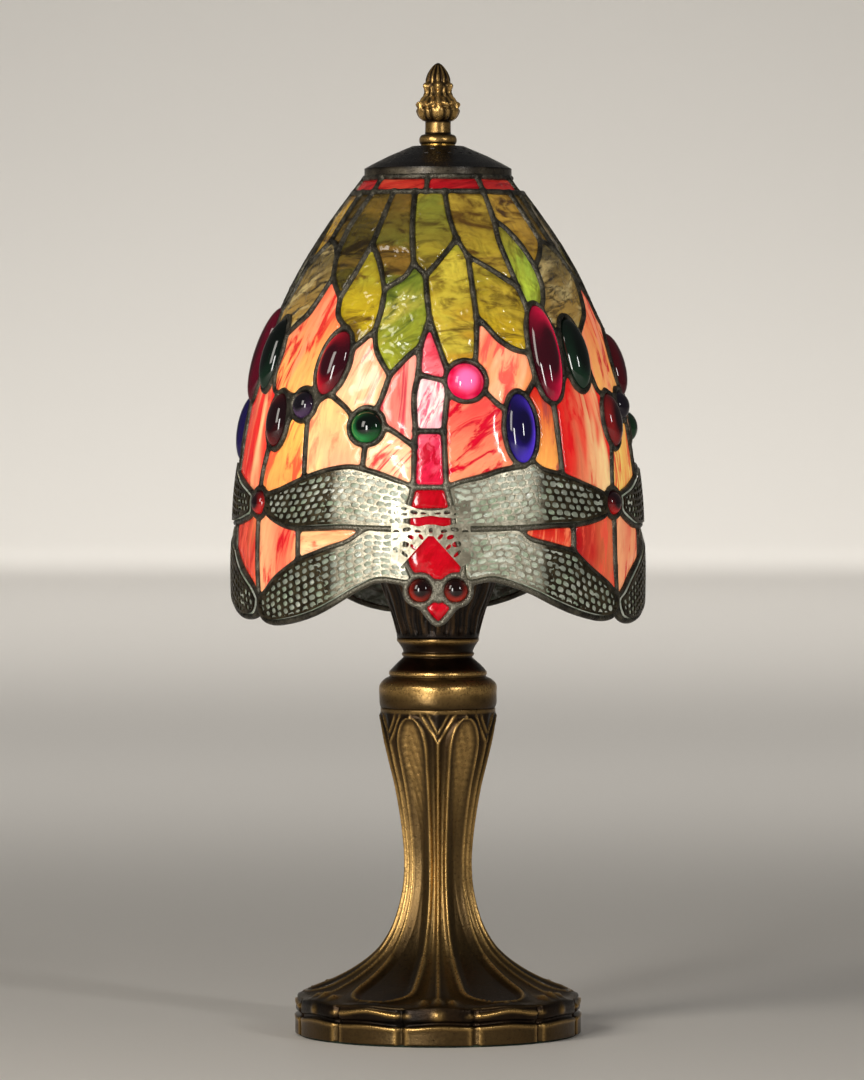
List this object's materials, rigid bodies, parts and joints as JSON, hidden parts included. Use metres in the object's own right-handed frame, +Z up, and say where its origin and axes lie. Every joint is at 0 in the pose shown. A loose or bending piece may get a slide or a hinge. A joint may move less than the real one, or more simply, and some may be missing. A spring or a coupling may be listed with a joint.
{
  "type": "stained glass table lamp",
  "caption": "Small table lamp with a domed leaded glass shade patterned with winged insects, jewels and leaves, on a fluted cast column with a scalloped foot.",
  "frame": {"origin": "centre of the foot's underside, on the surface the lamp stands on", "axes": "+Z up along the lamp pipe, -Y towards the front, where one insect faces the viewer, +X to the viewer's right"},
  "size_m": [0.1524, 0.1533, 0.3564],
  "materials": {
    "felt": "short felt nap",
    "antique_bronze": "antique bronze, dark in the recesses and rubbed bright on the ridges",
    "dark_bronze": "dark antique bronze, satin",
    "black_plastic": "moulded",
    "black_rubber": "matt",
    "cast_ballast": "rough cast",
    "zinc_steel": "bright zinc plate",
    "brass": "lacquered",
    "phenolic": "moulded",
    "fibre_paper": "waxed fibre",
    "bulb_glass": "clear",
    "filament": "incandescent wire",
    "lead_patina": "solder over copper foil, dark patina, satin",
    "border_glass": "streaky opalescent",
    "leaf_glass": "streaky, rippled",
    "background_glass": "streaky opalescent",
    "body_glass": "opalescent",
    "wing_glass": "pale opalescent",
    "pewter": "dark pewter, rubbed bright on the inner half",
    "ruby_jewel": "polished cabochon",
    "green_jewel": "polished cabochon",
    "garnet_jewel": "polished cabochon"
  },
  "bodies": {
    "base": {"felt_pad": "felt", "base_casting": "antique_bronze", "cord_bushing": "black_plastic", "ballast_weight": "cast_ballast", "base_nut": "zinc_steel", "base_lock_washer": "zinc_steel", "lamp_pipe": "zinc_steel", "collar_casting": "antique_bronze", "fluted_cup": "antique_bronze", "cup_washer": "zinc_steel", "cup_locknut": "zinc_steel", "pipe_spacer": "brass", "harp_saddle": "zinc_steel", "harp_ferrules": "brass", "harp": "brass", "harp_stud": "brass", "socket_cap": "brass", "socket_body": "phenolic", "socket_insulator": "fibre_paper", "socket_sleeve": "brass", "screw_shell": "brass", "centre_contact": "brass", "terminal_screws": "zinc_steel"},
    "bulb": {"bulb_cap": "brass", "bulb_glass": "bulb_glass", "bulb_stem": "bulb_glass", "bulb_filament": "filament"},
    "seat": {"seat_washer": "black_rubber"},
    "shade": {"shade_wheel": "brass", "top_ring": "brass", "lead_work": "lead_patina", "border_glass": "border_glass", "leaf_glass_1": "leaf_glass", "leaf_glass_2": "leaf_glass", "leaf_glass_3": "leaf_glass", "background_glass_1": "background_glass", "background_glass_2": "background_glass", "background_glass_3": "background_glass", "dragonfly_body_1": "body_glass", "dragonfly_body_2": "body_glass", "dragonfly_body_3": "body_glass", "wing_glass_1": "wing_glass", "wing_glass_2": "wing_glass", "wing_glass_3": "wing_glass", "wing_filigree_1": "pewter", "wing_filigree_2": "pewter", "wing_filigree_3": "pewter", "round_jewels": "green_jewel", "oval_jewels": "ruby_jewel", "dragonfly_eyes": "garnet_jewel", "shade_cap": "dark_bronze"},
    "finial_seat": {"finial_washer": "black_rubber"},
    "finial": {"finial": "antique_bronze"}
  },
  "joints": [
    {"name": "bulb_lift", "type": "slide", "parent": "base", "child": "bulb", "axis": [0, 0, 1], "range_m": [0, 0.013]},
    {"name": "shade_lift", "type": "slide", "parent": "base", "child": "seat", "axis": [0, 0, 1], "range_m": [0, 0.17]},
    {"name": "shade_turn", "type": "hinge", "parent": "seat", "child": "shade", "pos_m": [0, 0, 0.313], "axis": [0, 0, 1], "continuous": true},
    {"name": "finial_rise", "type": "slide", "parent": "shade", "child": "finial_seat", "axis": [0, 0, 1], "range_m": [0, 0.0085]},
    {"name": "finial_turn", "type": "hinge", "parent": "finial_seat", "child": "finial", "pos_m": [0, 0, 0.33], "axis": [0, 0, 1], "range_deg": [0, 3240]}
  ],
  "couplings": [
    {"joint": "finial_rise", "follows": "finial_turn", "m_per_rad": 0.0001497}
  ]
}
